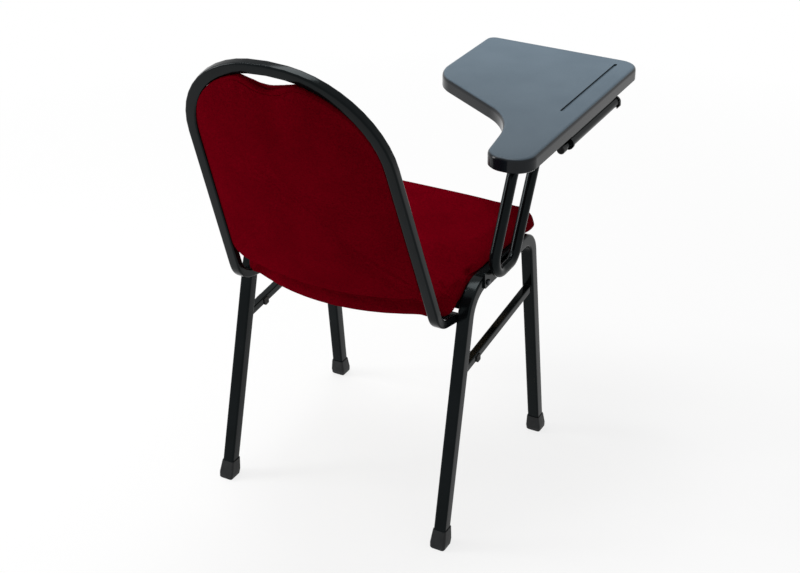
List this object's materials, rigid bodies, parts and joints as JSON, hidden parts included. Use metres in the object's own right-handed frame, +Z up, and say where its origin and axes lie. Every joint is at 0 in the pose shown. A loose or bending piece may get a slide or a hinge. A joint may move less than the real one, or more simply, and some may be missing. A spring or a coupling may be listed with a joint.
{
  "type": "lecture hall chair",
  "caption": "Stackable lecture hall chair with an upholstered seat and round-topped back in a bent steel tube frame, and a writing tablet that flips up beside the sitter's right.",
  "frame": {"origin": "on the floor, under the middle of the whole object's bounding box, with the tablet in its writing position", "axes": "+Z up, the chair faces -Y, +X is the sitter's left, so the tablet is at -X"},
  "size_m": [0.5231, 0.798, 0.8696],
  "materials": {
    "black_powder_coat": "gloss black powder coat on steel tube",
    "black_plastic": "fine-grained black polypropylene",
    "black_rubber": "matt black rubber",
    "nylon": "black nylon",
    "plywood": "raw birch plywood",
    "crimson_cloth": "plain woven crimson upholstery cloth over foam",
    "slate_board": "matt slate-grey writing surface with a glossy rolled edge",
    "zinc_plate": "zinc-plated screws and bolts"
  },
  "bodies": {
    "chair": {"side_frame_right": "black_powder_coat", "side_frame_left": "black_powder_coat", "foot_cap_rear_right": "black_plastic", "foot_cap_rear_left": "black_plastic", "foot_cap_front_right": "black_plastic", "foot_cap_front_left": "black_plastic", "stretcher_right": "black_powder_coat", "stretcher_left": "black_powder_coat", "stacking_buffer_right": "black_rubber", "stacking_buffer_left": "black_rubber", "seat_bar_front": "black_powder_coat", "seat_bar_rear": "black_powder_coat", "seat_board": "plywood", "seat_cushion": "crimson_cloth", "seat_screws": "zinc_plate", "back_hoop": "black_powder_coat", "back_tabs": "black_powder_coat", "back_board": "plywood", "back_cushion": "crimson_cloth", "back_rear_panel": "crimson_cloth", "back_screws": "zinc_plate", "arm_mount_plate": "black_powder_coat", "arm_front_tube": "black_powder_coat", "arm_rear_tube": "black_powder_coat", "arm_bolts": "zinc_plate", "arm_rail_plug": "black_plastic", "hinge_ear_front": "black_powder_coat", "hinge_ear_rear": "black_powder_coat", "hinge_rod": "black_powder_coat", "hinge_rod_cap": "black_plastic", "rest_buffers": "black_rubber"},
    "tablet": {"tablet_top": "slate_board", "tablet_screws": "zinc_plate", "hinge_sleeve": "black_powder_coat", "hinge_bush_front": "nylon", "hinge_bush_rear": "nylon"}
  },
  "joints": [
    {"name": "tablet_flip", "type": "hinge", "parent": "chair", "child": "tablet", "pos_m": [-0.25096, -0.16985, 0.6275], "axis": [0, -1, 0], "range_deg": [0, 100]}
  ]
}
